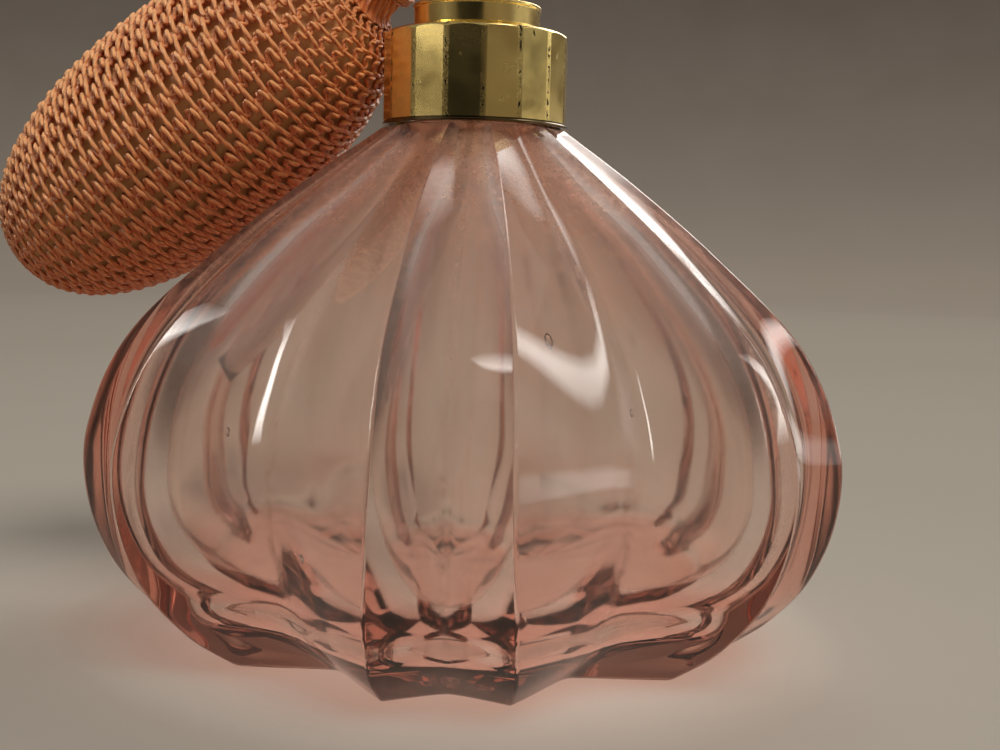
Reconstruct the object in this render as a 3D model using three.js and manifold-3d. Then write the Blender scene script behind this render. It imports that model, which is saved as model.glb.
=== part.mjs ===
// Perfume atomizer: ribbed glass bottle, brass head, net-covered squeeze bulb.
// Millimetres, +Z up, origin at the middle of the glass foot, front towards -Y.
import * as THREE from 'three';
import { mergeVertices } from 'three/addons/utils/BufferGeometryUtils.js';
import Module from 'manifold-3d';

const wasm = await Module();
wasm.setup();

// ---------------------------------------------------------------- driving dimensions
const FIT = 0.3;                    // clear gap between neighbouring pieces
const RIBS = 6;                     // rib pairs round the glass
const HALF_PERIOD = Math.PI / RIBS;
const BODY_TOP = 60;                // where the shoulder meets the neck
const NECK_TOP = 68.5;
const NECK_R = 8.2;
const NECK_BORE = 5.4;
const THREAD_PITCH = 3.175;
const COLLAR_R = 11;                // over the corners
const COLLAR_BOTTOM = 60.4;
const COLLAR_TOP = 71.4;
const COLLAR_SIDES = 16;
const FLANGE_R = 7.5;
const FLANGE_TOP = 74.6;
const TURRET_R = 4.7;
const TURRET_TOP = 89.5;
const SHANK_R = 2.9;
const NOZZLE_HEIGHT = 82.5;
const SWING = THREE.MathUtils.degToRad(19);   // how far the bulb points behind the side
const DROOP = THREE.MathUtils.degToRad(33);   // slope of the air tube and bulb
const AXIS_TOP = 86.35;             // height where the bulb line crosses the turret line
const BULB_MIDDLE = 47.5;           // distances along the bulb line
const BULB_HALF = 30.7;
const BULB_BLUNT = 0.78;            // 1 is a plain ellipse; less gives blunter ends
const BULB_R = 15.5;                // over the net
const NET_THICK = 0.9;
const RUBBER_THICK = 2.2;
const STEM_END = 15.5;
const STEM_R = 1.4;

// ---------------------------------------------------------------- materials
const glass = new THREE.MeshStandardMaterial({ color: 0xe9b3a8, roughness: 0.06, metalness: 0 });
const brass = new THREE.MeshStandardMaterial({ color: 0xb2924a, roughness: 0.28, metalness: 1 });
const darkBrass = new THREE.MeshStandardMaterial({ color: 0x7a6432, roughness: 0.45, metalness: 1 });
const steel = new THREE.MeshStandardMaterial({ color: 0xb8b8b4, roughness: 0.2, metalness: 1 });
const yarn = new THREE.MeshStandardMaterial({ color: 0xdb8662, roughness: 0.7, metalness: 0 });
const rubber = new THREE.MeshStandardMaterial({ color: 0xcfa878, roughness: 0.75, metalness: 0 });
const sealRubber = new THREE.MeshStandardMaterial({ color: 0x3a322c, roughness: 0.85, metalness: 0 });
const clearTube = new THREE.MeshStandardMaterial({ color: 0xe8dcd2, roughness: 0.2, metalness: 0 });

// ---------------------------------------------------------------- solid helpers
function toSolid(geometry) {
  const bare = geometry.index ? geometry.toNonIndexed() : geometry.clone();
  bare.deleteAttribute('normal');
  bare.deleteAttribute('uv');
  const merged = mergeVertices(bare, 1e-4);
  const mesh = new wasm.Mesh({
    numProp: 3,
    vertProperties: new Float32Array(merged.attributes.position.array),
    triVerts: new Uint32Array(merged.index.array),
  });
  return new wasm.Manifold(mesh);
}

function toGeometry(solid) {
  const mesh = solid.getMesh();
  const geometry = new THREE.BufferGeometry();
  geometry.setAttribute('position', new THREE.BufferAttribute(new Float32Array(mesh.vertProperties), 3));
  geometry.setIndex(new THREE.BufferAttribute(new Uint32Array(mesh.triVerts), 1));
  geometry.computeVertexNormals();
  return geometry;
}

function piece(name, shape, material) {
  const geometry = shape.isBufferGeometry ? shape : toGeometry(shape);
  const mesh = new THREE.Mesh(geometry, material);
  mesh.name = name;
  return mesh;
}

// A turned shape: outline of [radius, height] pairs, standing on Z.
function turned(outline, sides = 32) {
  const points = outline.map(([r, z]) => new THREE.Vector2(r, z));
  return new THREE.LatheGeometry(points, sides).rotateX(Math.PI / 2);
}

// A turned ring: the outline closes on itself away from the axis.
function turnedRing(outline, sides = 32) {
  return turned([...outline, outline[0]], sides);
}

function tubeRing(inner, outer, bottom, top, sides = 32) {
  return turnedRing([[inner, bottom], [outer, bottom], [outer, top], [inner, top]], sides);
}

function rod(radius, bottom, top, sides = 24) {
  const height = top - bottom;
  return new THREE.CylinderGeometry(radius, radius, height, sides)
    .rotateX(Math.PI / 2)
    .translate(0, 0, bottom + height / 2);
}

// Smooth value through [height, value] stations.
function smoothThrough(stations) {
  const curve = new THREE.SplineCurve(stations.map(([z, v]) => new THREE.Vector2(z, v)));
  const samples = curve.getPoints(stations.length * 16);
  return (z) => {
    const after = samples.findIndex((p) => p.x >= z);
    if (after < 0) return samples[samples.length - 1].y;
    if (after === 0) return samples[0].y;
    const a = samples[after - 1];
    const b = samples[after];
    return a.y + ((b.y - a.y) * (z - a.x)) / (b.x - a.x);
  };
}

// ---------------------------------------------------------------- glass bottle
// Radii of the ribs, of the narrow flute inside a pair and of the wide flute between pairs.
const ribRadius = smoothThrough([
  [0, 31.5], [4, 37], [10, 42], [18, 44.8], [26, 44.6], [36, 40], [46, 29.6], [54, 19.6], [60, 11.2]]);
const narrowRadius = smoothThrough([
  [0, 28], [8, 38.4], [22, 42], [34, 38.6], [46, 27.8], [54, 18.2], [60, 10.4]]);
const wideRadius = smoothThrough([
  [0, 25], [8, 33.8], [22, 37.8], [32, 34.8], [42, 27.8], [52, 17.6], [60, 9.9]]);
const ribAngle = smoothThrough([
  [0, 12], [12, 9.5], [25, 8.6], [40, 9.4], [60, 12]]);

// Radii of the hollow: rounded lobes behind the rib pairs, waists behind the wide flutes.
const lobeRadius = smoothThrough([
  [7, 22], [8.5, 30], [13, 36.6], [22, 38.9], [34, 35.4], [46, 24.6], [54, 14.8], [60, 7.2],
  [62, NECK_BORE]]);
const waistRadius = smoothThrough([
  [7, 18], [8.5, 24], [13, 30.4], [22, 34.2], [32, 31.2], [42, 24.2], [52, 13.8], [59, 6.8],
  [62, NECK_BORE]]);
const FLOOR = 7;
const HOLLOW_TOP = 62;
const FLUTE_SHARPNESS = 1.45;        // 1 would make straight sides between rib and flute
const LOBE_FULLNESS = 0.75;          // below 1 the lobes of the hollow are broader than its waists

// Fluted outline: sharp at the ribs, hollow between them.
function outerRadius(z, turn) {
  const rib = THREE.MathUtils.degToRad(ribAngle(z));
  const inNarrow = turn <= rib;
  const valley = inNarrow ? narrowRadius(z) : wideRadius(z);
  const climb = inNarrow ? turn / rib : (HALF_PERIOD - turn) / (HALF_PERIOD - rib);
  return valley + (ribRadius(z) - valley) * climb ** FLUTE_SHARPNESS;
}

function hollowRadius(z, turn) {
  const lobe = (0.5 + 0.5 * Math.cos(RIBS * turn)) ** LOBE_FULLNESS;
  return waistRadius(z) + (lobeRadius(z) - waistRadius(z)) * lobe;
}

// Steps of the half period, finer at the rib; the rib itself is the step at 1.
const RIB_STEPS = [0, 0.5, 1, 1.35, 1.9, 2.6];      // the next flute would be at 3

function flutedBody(levels, radiusAt, steps) {
  const outline = [[0, levels[0]], ...levels.map((z) => [1, z]), [0, levels[levels.length - 1]]];
  const perHalf = steps(0).length;
  const around = RIBS * 2 * perHalf;
  const body = turned(outline, around);
  const position = body.attributes.position;
  for (let i = 0; i < position.count; i += 1) {
    const z = position.getZ(i);
    const onAxis = Math.hypot(position.getX(i), position.getY(i)) < 0.5;
    if (onAxis) continue;
    const angle = Math.atan2(position.getX(i), -position.getY(i));
    const index = Math.round((angle / (2 * Math.PI)) * around + around) % around;
    const inPeriod = index % (2 * perHalf);
    const mirrored = inPeriod > perHalf;
    const turn = steps(z)[mirrored ? 2 * perHalf - inPeriod : inPeriod] ?? HALF_PERIOD;
    const centre = Math.floor(index / (2 * perHalf)) + (mirrored ? 1 : 0);
    const azimuth = centre * 2 * HALF_PERIOD + (mirrored ? -turn : turn);
    const r = radiusAt(z, turn);
    position.setXYZ(i, r * Math.sin(azimuth), -r * Math.cos(azimuth), z);
  }
  return toSolid(body);
}

function ribSteps(z) {
  const rib = THREE.MathUtils.degToRad(ribAngle(z));
  const spare = (HALF_PERIOD - rib) / 2;
  return RIB_STEPS.map((s) => (s <= 1 ? s * rib : rib + (s - 1) * spare));
}

function evenSteps() {
  return [0, 1, 2, 3].map((s) => (s * HALF_PERIOD) / 4);
}

// A thread rib: a straight bar wrapped round the axis as a right-hand helix.
function threadRib(rootR, tipR, firstZ, startTurn, turns) {
  const perTurn = 24;
  const rootHeight = 1.3;
  const tipHeight = 0.7;
  const bar = new THREE.BoxGeometry(turns, 1, 1, Math.round(turns * perTurn), 1, 1);
  const position = bar.attributes.position;
  for (let i = 0; i < position.count; i += 1) {
    const atTip = position.getY(i) > 0;
    const turn = startTurn + position.getX(i) + turns / 2;
    const height = atTip ? tipHeight : rootHeight;
    const r = atTip ? tipR : rootR;
    const z = firstZ + THREAD_PITCH * turn + position.getZ(i) * height;
    const azimuth = turn * 2 * Math.PI;
    position.setXYZ(i, r * Math.cos(azimuth), r * Math.sin(azimuth), z);
  }
  // The wrap mirrors the bar when the tip lies outside the root.
  if (tipR > rootR) {
    const index = bar.index.array;
    for (let i = 0; i < index.length; i += 3) [index[i], index[i + 1]] = [index[i + 1], index[i]];
  }
  return toSolid(bar);
}

const THREAD_START = 62.9;
const THREAD_TURNS = 1.2;

function bottle() {
  const neckRoot = 54;                // the plain neck starts inside the shoulder
  const rimChamfer = 0.6;
  const outerLevels = [0, 3, 7, 12, 17, 22, 28, 34, 40, 46, 51, 56, BODY_TOP];
  const hollowLevels = [FLOOR, 8.5, 11, 15, 20, 26, 32, 38, 44, 50, 55, 59, HOLLOW_TOP];
  const body = flutedBody(outerLevels, outerRadius, ribSteps);
  const neck = toSolid(turned([
    [0, neckRoot], [NECK_R, neckRoot], [NECK_R, NECK_TOP - rimChamfer], [NECK_R - rimChamfer, NECK_TOP],
    [0, NECK_TOP]], 40));
  const hollow = flutedBody(hollowLevels, hollowRadius, evenSteps);
  const bore = toSolid(rod(NECK_BORE, HOLLOW_TOP - 1, NECK_TOP + 1, 40));
  const thread = threadRib(NECK_R - 0.4, NECK_R + 0.75, THREAD_START, 0, THREAD_TURNS);
  return piece('bottle', body.add(neck).add(thread).subtract(hollow).subtract(bore), glass);
}

// ---------------------------------------------------------------- screw collar
const LINER_OUTER = 9.95;
const COLLAR_INNER = 10.2;
const PLATE_THICK = 1.1;              // closed top of the collar
const FACET_TURN = 7.4;               // degrees the facets are turned from the front

function collarShell() {
  const prism = toSolid(rod(COLLAR_R, COLLAR_BOTTOM, COLLAR_TOP, COLLAR_SIDES)
    .rotateZ(THREE.MathUtils.degToRad(FACET_TURN)));
  const shoulder = 1.5;
  const turnedR = COLLAR_R + 0.1;     // the round shoulder was turned a little over the corners
  const rimHeight = 0.7;
  const arc = [0, 1, 2, 3, 4].map((k) => {
    const a = (k * Math.PI) / 8;
    return [turnedR - shoulder + shoulder * Math.cos(a), COLLAR_TOP - shoulder + shoulder * Math.sin(a)];
  });
  const outline = [[0, COLLAR_BOTTOM], [turnedR, COLLAR_BOTTOM], ...arc, [0, COLLAR_TOP]];
  const envelope = toSolid(turned(outline, 48));
  const rim = toSolid(tubeRing(COLLAR_INNER + 0.3, turnedR, COLLAR_BOTTOM, COLLAR_BOTTOM + rimHeight, 48));
  const inside = toSolid(rod(COLLAR_INNER, COLLAR_BOTTOM - 1, COLLAR_TOP - PLATE_THICK, 40));
  const hole = toSolid(rod(SHANK_R + 0.5, COLLAR_TOP - 2, COLLAR_TOP + 1));
  const shell = prism.intersect(envelope).add(rim).subtract(inside).subtract(hole);
  return piece('collar_shell', shell, brass);
}

function threadLiner() {
  const bottom = COLLAR_BOTTOM + 1.2;
  const top = COLLAR_TOP - PLATE_THICK - 1.6;
  const wall = toSolid(tubeRing(9.3, LINER_OUTER, bottom, top));
  const thread = threadRib(9.5, NECK_R + 0.3, THREAD_START + THREAD_PITCH / 2, -0.3, THREAD_TURNS);
  return piece('thread_liner', wall.add(thread), darkBrass);
}

function neckGasket() {
  const bottom = NECK_TOP + FIT;
  const top = COLLAR_TOP - PLATE_THICK - FIT;
  return piece('neck_gasket', tubeRing(NECK_BORE + 0.1, NECK_R + 1, bottom, top), sealRubber);
}

// ---------------------------------------------------------------- spray head
function headFlange() {
  const bottom = COLLAR_TOP + FIT;
  const bore = SHANK_R + FIT;
  const outline = [
    [bore, bottom], [FLANGE_R - 0.3, bottom], [FLANGE_R, bottom + 0.3], [FLANGE_R, FLANGE_TOP - 0.5],
    [FLANGE_R + 0.15, FLANGE_TOP - 0.4], [FLANGE_R + 0.15, FLANGE_TOP - 0.1], [FLANGE_R, FLANGE_TOP],
    [bore, FLANGE_TOP]];
  return piece('head_flange', turnedRing(outline, 40), brass);
}

const NIPPLE_R = 1.1;                 // the siphon tube is pushed over it
const NIPPLE_BOTTOM = 61.5;
const SHANK_BOTTOM = 66.6;
const AIRWAY_R = 0.9;
const FINIAL_SCREW_R = 1.4;
const BARREL_ROOT_R = 1.9;
const BARREL_START = 2.1;             // distances along the nozzle line
const BARREL_END = 12;
const STEM_START = 3;                 // distance along the bulb line

// Lays a shape built along +Z onto the bulb line, z becoming the distance from the turret line.
function alongBulb(geometry) {
  return geometry
    .rotateY(-(Math.PI / 2 + DROOP))
    .rotateZ(-SWING)
    .translate(0, 0, AXIS_TOP);
}

// Lays a shape built along +Z onto the nozzle line, opposite the bulb.
function alongNozzle(geometry) {
  return geometry
    .rotateY(Math.PI / 2)
    .rotateZ(-SWING)
    .translate(0, 0, NOZZLE_HEIGHT);
}

function turretBody() {
  const foot = FLANGE_TOP + FIT;
  const outline = [
    [0, NIPPLE_BOTTOM], [NIPPLE_R, NIPPLE_BOTTOM], [NIPPLE_R, SHANK_BOTTOM], [SHANK_R, SHANK_BOTTOM],
    [SHANK_R, foot], [TURRET_R + 0.3, foot], [TURRET_R + 0.5, foot + 0.3], [TURRET_R + 0.3, foot + 0.7],
    [TURRET_R, foot + 0.9], [TURRET_R, TURRET_TOP - 2.4], [TURRET_R + 0.35, TURRET_TOP - 2.1],
    [TURRET_R + 0.35, TURRET_TOP - 1.3], [TURRET_R, TURRET_TOP - 1], [TURRET_R - 1, TURRET_TOP],
    [0, TURRET_TOP]];
  const liquidBore = rod(NIPPLE_R / 2, NIPPLE_BOTTOM - 1, NOZZLE_HEIGHT);
  const screwHole = rod(FINIAL_SCREW_R + FIT + 0.05, TURRET_TOP - 3, TURRET_TOP + 1);
  const airBore = alongBulb(rod(STEM_R + FIT, STEM_START - 0.8, 9));
  const airWay = alongBulb(rod(AIRWAY_R, 0, 5));
  const nozzleBore = alongNozzle(rod(BARREL_ROOT_R + FIT, BARREL_START - 0.5, 9));
  const crossWay = rod(AIRWAY_R, NOZZLE_HEIGHT, AXIS_TOP - 0.2);
  const jetWay = alongNozzle(rod(AIRWAY_R, 0, 5));
  const cuts = [liquidBore, screwHole, airBore, airWay, nozzleBore, crossWay, jetWay].map(toSolid);
  const stemBoss = toSolid(alongBulb(rod(2.6, STEM_START, 7.4)));
  const solid = toSolid(turned(outline, 32)).add(stemBoss);
  return piece('turret_body', cuts.reduce((body, cut) => body.subtract(cut), solid), brass);
}

function retainingNut() {
  const overCorners = 4.8;
  const thick = 2.2;
  const top = COLLAR_TOP - PLATE_THICK - FIT;
  const hexagon = toSolid(rod(overCorners, top - thick, top, 6));
  return piece('retaining_nut', hexagon.subtract(toSolid(rod(SHANK_R + FIT, top - 4, top + 1))), darkBrass);
}

function finial() {
  const seat = TURRET_TOP + FIT;
  const ballR = 2.5;
  const ballMiddle = seat + 4.1;
  const ball = [-60, -35, -10, 15, 40, 65].map((deg) => {
    const a = THREE.MathUtils.degToRad(deg);
    return [ballR * Math.cos(a), ballMiddle + ballR * Math.sin(a)];
  });
  const outline = [
    [0, seat - 2.7], [FINIAL_SCREW_R, seat - 2.7], [FINIAL_SCREW_R, seat], [3.3, seat], [3.5, seat + 0.4],
    [3.3, seat + 0.9], [1.6, seat + 1.4], ...ball, [0, ballMiddle + ballR]];
  return piece('finial', turned(outline, 24), brass);
}

function nozzleBarrel() {
  const bore = AIRWAY_R + 0.05;
  const shoulder = BARREL_START + 3;  // a bead rests against the turret wall
  const spigot = BARREL_END - 2.8;
  const outline = [
    [bore, BARREL_START], [BARREL_ROOT_R, BARREL_START], [BARREL_ROOT_R, shoulder], [2.9, shoulder],
    [3.1, shoulder + 0.4], [2.9, shoulder + 0.8], [2.5, shoulder + 1.1], [2.3, spigot], [1.6, spigot],
    [1.6, BARREL_END], [bore, BARREL_END]];
  return piece('nozzle_barrel', alongNozzle(turnedRing(outline, 24)), brass);
}

function nozzleTip() {
  const seat = BARREL_END - 2.5;
  const outline = [
    [1.9, seat], [2.7, seat], [2.9, seat + 0.4], [2.9, seat + 1.6], [2.5, seat + 2.4],
    [1.5, seat + 3.6], [0.45, seat + 4], [0.45, BARREL_END + 0.4], [1.9, BARREL_END + 0.4]];
  return piece('nozzle_tip', alongNozzle(turnedRing(outline, 24)), brass);
}

function sprayJet() {
  return piece('spray_jet', alongNozzle(tubeRing(0.28, 0.62, 1.2, BARREL_END - 0.2, 12)), steel);
}

// Straight down from the nipple, then bent over to lie under the front left shoulder.
function siphonTube() {
  const aim = THREE.MathUtils.degToRad(-68);          // from the front, -Y
  const at = (r, z) => new THREE.Vector3(r * Math.sin(aim), -r * Math.cos(aim), z);
  const bendTop = at(0, 59);
  const bendEnd = at(8.6, 47.83);
  const path = new THREE.CurvePath();
  path.add(new THREE.LineCurve3(at(0, SHANK_BOTTOM - FIT), bendTop));
  path.add(new THREE.CubicBezierCurve3(bendTop, at(0, 53.5), at(4.4, 50.9), bendEnd));
  path.add(new THREE.LineCurve3(bendEnd, at(31, 31.46)));
  const outer = 1.85;
  const inner = NIPPLE_R + 0.35;
  const wall = new THREE.Shape().absarc(0, 0, outer, 0, 2 * Math.PI);
  wall.holes.push(new THREE.Path().absarc(0, 0, inner, 0, 2 * Math.PI, true));
  const tube = new THREE.ExtrudeGeometry(wall, { extrudePath: path, steps: 18, curveSegments: 5 });
  return piece('siphon_tube', tube, clearTube);
}

// ---------------------------------------------------------------- air tube, bulb and net
function bulbStem() {
  const bore = STEM_R - 0.5;
  const outline = [
    [bore, STEM_START], [STEM_R, STEM_START], [STEM_R, STEM_END - 1.6], [STEM_R + 0.2, STEM_END - 1.3],
    [STEM_R - 0.1, STEM_END], [bore, STEM_END]];
  return piece('bulb_stem', alongBulb(turnedRing(outline, 20)), brass);
}

function stemNut() {
  const outline = [[1.8, 7.7], [2.7, 7.7], [2.9, 8], [2.9, 8.7], [2.5, 9.2], [1.8, 9.2]];
  return piece('stem_nut', alongBulb(turnedRing(outline, 24)), brass);
}

// One side of the bulb profile: from the neck end to the tail end, never thinner than its ends.
function bulbSide(inset, neckR, tailR, count) {
  const side = [];
  for (let k = 0; k <= count; k += 1) {
    const angle = (k / count) * Math.PI;
    const s = BULB_MIDDLE - (BULB_HALF - inset) * Math.cos(angle);
    const least = k < count / 2 ? neckR : tailR;
    const along = Math.cos(angle);
    const full = (BULB_R - inset) * Math.sqrt(1 - along * along) ** BULB_BLUNT;
    side.push([Math.max(least, full), s]);
  }
  return side;
}

const NET_NECK_START = 11.2;          // distances along the bulb line
const RUBBER_NECK_START = 10.4;
const RUBBER_NECK_R = 2.6;
const RUBBER_TAIL_R = 2.6;            // hole for the intake valve, tight round it
const NET_NECK_R = 3.6;
const NET_NECK_THICK = 0.7;
const NET_TAIL_R = 2.2;               // opening round the intake valve
const RUBBER_INSET = NET_THICK + 0.4;
const BULB_STEPS = 12;

function netCover() {
  const neckInner = NET_NECK_R - NET_NECK_THICK;
  const outer = bulbSide(0, NET_NECK_R, NET_TAIL_R, BULB_STEPS);
  const inner = bulbSide(NET_THICK, neckInner, NET_TAIL_R, BULB_STEPS).reverse();
  const outline = [[NET_NECK_R, NET_NECK_START], ...outer, ...inner, [neckInner, NET_NECK_START]];
  return piece('net_cover', alongBulb(turnedRing(outline, 30)), yarn);
}

function rubberBulb() {
  const neckInner = STEM_R + 0.5;     // clear of the barb at the end of the air tube
  const outer = bulbSide(RUBBER_INSET, RUBBER_NECK_R, RUBBER_TAIL_R, BULB_STEPS);
  const inner = bulbSide(RUBBER_INSET + RUBBER_THICK, neckInner, RUBBER_TAIL_R, BULB_STEPS).reverse();
  const outline = [[RUBBER_NECK_R, RUBBER_NECK_START], ...outer, ...inner, [neckInner, RUBBER_NECK_START]];
  return piece('rubber_bulb', alongBulb(turnedRing(outline, 26)), rubber);
}

function netTie() {
  const outline = [[3.9, 13.2], [4.3, 13.1], [4.6, 13.5], [4.6, 14], [4.3, 14.4], [3.9, 14.3]];
  return piece('net_tie', alongBulb(turnedRing(outline, 24)), yarn);
}

const TAIL = BULB_MIDDLE + BULB_HALF;     // outer end of the net
const PLUG_OUTER = TAIL - RUBBER_INSET - 0.1;
const PLUG_R = 2.3;
const PLUG_LENGTH = 5;
const BALL_R = 1.05;

function intakeValve() {
  const inner = PLUG_OUTER - PLUG_LENGTH;
  const chamber = BALL_R + 0.4;
  const hole = 0.6;
  const outline = [
    [chamber, inner], [PLUG_R, inner], [PLUG_R, PLUG_OUTER], [hole, PLUG_OUTER], [hole, PLUG_OUTER - 0.7],
    [chamber, PLUG_OUTER - 1.4]];
  return piece('intake_valve', alongBulb(turnedRing(outline, 18)), brass);
}

function valveCage() {
  const outer = PLUG_OUTER - PLUG_LENGTH - FIT;
  const washer = tubeRing(0.4, PLUG_R + 1, outer - 0.8, outer, 18);
  return piece('valve_cage', alongBulb(washer), brass);
}

function valveBall() {
  const ball = new THREE.SphereGeometry(BALL_R, 12, 8).translate(0, 0, PLUG_OUTER - PLUG_LENGTH / 2);
  return piece('valve_ball', alongBulb(ball), steel);
}

// ---------------------------------------------------------------- assembly
function group(name, members) {
  const node = new THREE.Group();
  node.name = name;
  node.add(...members);
  return node;
}

const bulbLine = [rubberBulb(), netCover(), netTie(), intakeValve(), valveCage(), valveBall()];
const head = [
  headFlange(), turretBody(), retainingNut(), finial(), nozzleBarrel(), nozzleTip(), sprayJet(),
  bulbStem(), stemNut()];

export default group('perfume_atomizer', [
  bottle(),
  group('screw_collar', [collarShell(), threadLiner()]),
  group('neck_seal', [neckGasket(), siphonTube()]),
  group('spray_head', head),
  group('squeeze_bulb', bulbLine),
]);
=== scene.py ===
# Perfume atomizer with a ribbed glass bottle, brass head and net-covered squeeze bulb.
import math

import bpy
import numpy as np
from mathutils import Matrix, Vector


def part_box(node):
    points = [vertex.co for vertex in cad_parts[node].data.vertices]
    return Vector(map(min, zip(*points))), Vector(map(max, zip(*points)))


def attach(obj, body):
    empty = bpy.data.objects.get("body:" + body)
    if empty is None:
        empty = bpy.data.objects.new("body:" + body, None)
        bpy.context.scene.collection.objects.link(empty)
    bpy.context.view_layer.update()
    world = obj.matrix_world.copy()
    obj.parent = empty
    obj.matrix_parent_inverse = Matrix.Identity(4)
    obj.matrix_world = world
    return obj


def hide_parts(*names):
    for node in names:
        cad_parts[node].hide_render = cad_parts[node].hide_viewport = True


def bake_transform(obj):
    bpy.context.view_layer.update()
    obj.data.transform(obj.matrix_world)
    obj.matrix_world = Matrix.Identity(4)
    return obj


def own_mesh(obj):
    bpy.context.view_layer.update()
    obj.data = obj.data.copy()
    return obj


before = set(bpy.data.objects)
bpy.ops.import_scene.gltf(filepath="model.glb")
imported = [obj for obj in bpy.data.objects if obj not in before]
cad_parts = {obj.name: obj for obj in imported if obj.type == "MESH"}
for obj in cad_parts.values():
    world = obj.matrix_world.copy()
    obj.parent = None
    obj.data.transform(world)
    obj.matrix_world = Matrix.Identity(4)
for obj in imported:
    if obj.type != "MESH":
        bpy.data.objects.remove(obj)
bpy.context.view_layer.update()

MM = 0.001
BOTTLE_LOW, BOTTLE_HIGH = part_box("bottle")
# The glass is drawn in millimetres for a 44.6 mm reach; the frame's bottle sets the scale.
UNIT = (BOTTLE_HIGH[1] - BOTTLE_LOW[1]) / 2 / 44.62


# ---------------------------------------------------------------- camera
def make_camera():
    """Close in front and a little above the shoulder, looking slightly down with a slight roll."""
    turn = math.radians(1.7)
    dip = math.radians(5.77)
    roll = math.radians(1.38)
    aside, back, height = 3.74 * MM, 162.7 * MM, 47.2 * MM
    place = Matrix.Rotation(turn, 3, "Z") @ Vector((aside, -back, height))
    ahead = Vector((-math.sin(turn) * math.cos(dip), math.cos(turn) * math.cos(dip), -math.sin(dip)))
    level = Vector((math.cos(turn), math.sin(turn), 0))
    over = level.cross(ahead)
    right = level * math.cos(roll) + over * math.sin(roll)
    up = over * math.cos(roll) - level * math.sin(roll)
    data = bpy.data.cameras.new("camera")
    data.sensor_width = 36
    data.lens = 48.17
    data.clip_start = 0.005
    data.clip_end = 20
    camera = bpy.data.objects.new("camera", data)
    bpy.context.collection.objects.link(camera)
    axes = Matrix((right, up, -ahead)).transposed()
    camera.matrix_world = Matrix.Translation(place) @ axes.to_4x4()
    bpy.context.scene.camera = camera


make_camera()


# ---------------------------------------------------------------- node helpers
def new_material(name):
    material = bpy.data.materials.new(name)
    material.use_nodes = True
    tree = material.node_tree
    shader = tree.nodes["Principled BSDF"]
    return material, tree, shader


def add(tree, kind, **values):
    node = tree.nodes.new(kind)
    for key, value in values.items():
        if hasattr(node, key):
            setattr(node, key, value)
        else:
            node.inputs[key.replace("_", " ")].default_value = value
    return node


def link(tree, source, target):
    tree.links.new(source, target)


def position(tree):
    return add(tree, "ShaderNodeTexCoord").outputs["Object"]


def noise(tree, scale, detail=3.0, rough=0.5, vector=None):
    node = add(tree, "ShaderNodeTexNoise", Scale=scale, Detail=detail, Roughness=rough)
    link(tree, vector or position(tree), node.inputs["Vector"])
    return node.outputs["Fac"]


def ramp(tree, source, stops):
    node = add(tree, "ShaderNodeValToRGB")
    points = node.color_ramp.elements
    while len(points) < len(stops):
        points.new(0.5)
    for point, (at, colour) in zip(points, stops):
        point.position = at
        point.color = (*colour, 1) if len(colour) == 3 else colour
    link(tree, source, node.inputs["Fac"])
    return node.outputs["Color"]


def math_node(tree, operation, a, b=None):
    """One arithmetic step; a and b are numbers or sockets."""
    node = add(tree, "ShaderNodeMath", operation=operation)
    for socket, value in zip(node.inputs, (a, b)):
        if value is None:
            continue
        if isinstance(value, (int, float)):
            socket.default_value = value
        else:
            link(tree, value, socket)
    return node.outputs[0]


def mix_colour(tree, factor, a, b):
    """Blend from colour a to colour b; each of the three may be a constant or a socket."""
    node = add(tree, "ShaderNodeMix", data_type="RGBA")
    for socket, value in ((node.inputs[0], factor), (node.inputs[6], a), (node.inputs[7], b)):
        if isinstance(value, (int, float)):
            socket.default_value = value
        elif isinstance(value, tuple):
            socket.default_value = (*value, 1)
        else:
            link(tree, value, socket)
    return node.outputs[2]


def product(tree, *factors):
    result = factors[0]
    for factor in factors[1:]:
        result = math_node(tree, "MULTIPLY", result, factor)
    return result


def total(tree, *terms):
    result = terms[0]
    for term in terms[1:]:
        result = math_node(tree, "ADD", result, term)
    return result


def attribute(tree, name):
    return add(tree, "ShaderNodeAttribute", attribute_name=name).outputs["Fac"]


def components(tree, vector):
    axes = add(tree, "ShaderNodeSeparateXYZ")
    link(tree, vector, axes.inputs["Vector"])
    return axes.outputs


def bump(tree, height, strength, distance):
    node = add(tree, "ShaderNodeBump", Strength=strength, Distance=distance)
    link(tree, height, node.inputs["Height"])
    return node.outputs["Normal"]


def spread(tree, source, low, high, low_value=0.0, high_value=1.0):
    """Stretch the part of source between low and high over the two values, held level beyond them."""
    node = add(tree, "ShaderNodeMapRange")
    link(tree, source, node.inputs["Value"])
    node.inputs["From Min"].default_value = low
    node.inputs["From Max"].default_value = high
    node.inputs["To Min"].default_value = low_value
    node.inputs["To Max"].default_value = high_value
    return node.outputs["Result"]


# ---------------------------------------------------------------- materials
COLLAR_SIDES = 16
FACET_TURN = 7.4      # degrees the collar's flat faces are turned from the front
GLASS_DEPTH = 25.0    # how strongly the glass takes up light along its way
FILM = 0.04           # dried film that covers the whole hollow
FROST = 0.22          # the most that the frosty patches add to it


def dried_film(tree, place):
    """Share of dried film on the hollow: milky all over, frosty in patches near the top."""
    high = spread(tree, components(tree, place)["Z"], 0.030, 0.058, 0.10, 1.0)
    broad = spread(tree, noise(tree, 60, 3, 0.6, place), 0.30, 0.65, 0.45, 1.0)
    speck = spread(tree, noise(tree, 900, 5, 0.7, place), 0.40, 0.62, 0.55, 1.0)
    patches = product(tree, high, broad, FROST, speck)
    return product(tree, total(tree, patches, FILM), attribute(tree, "hollow"))


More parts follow.
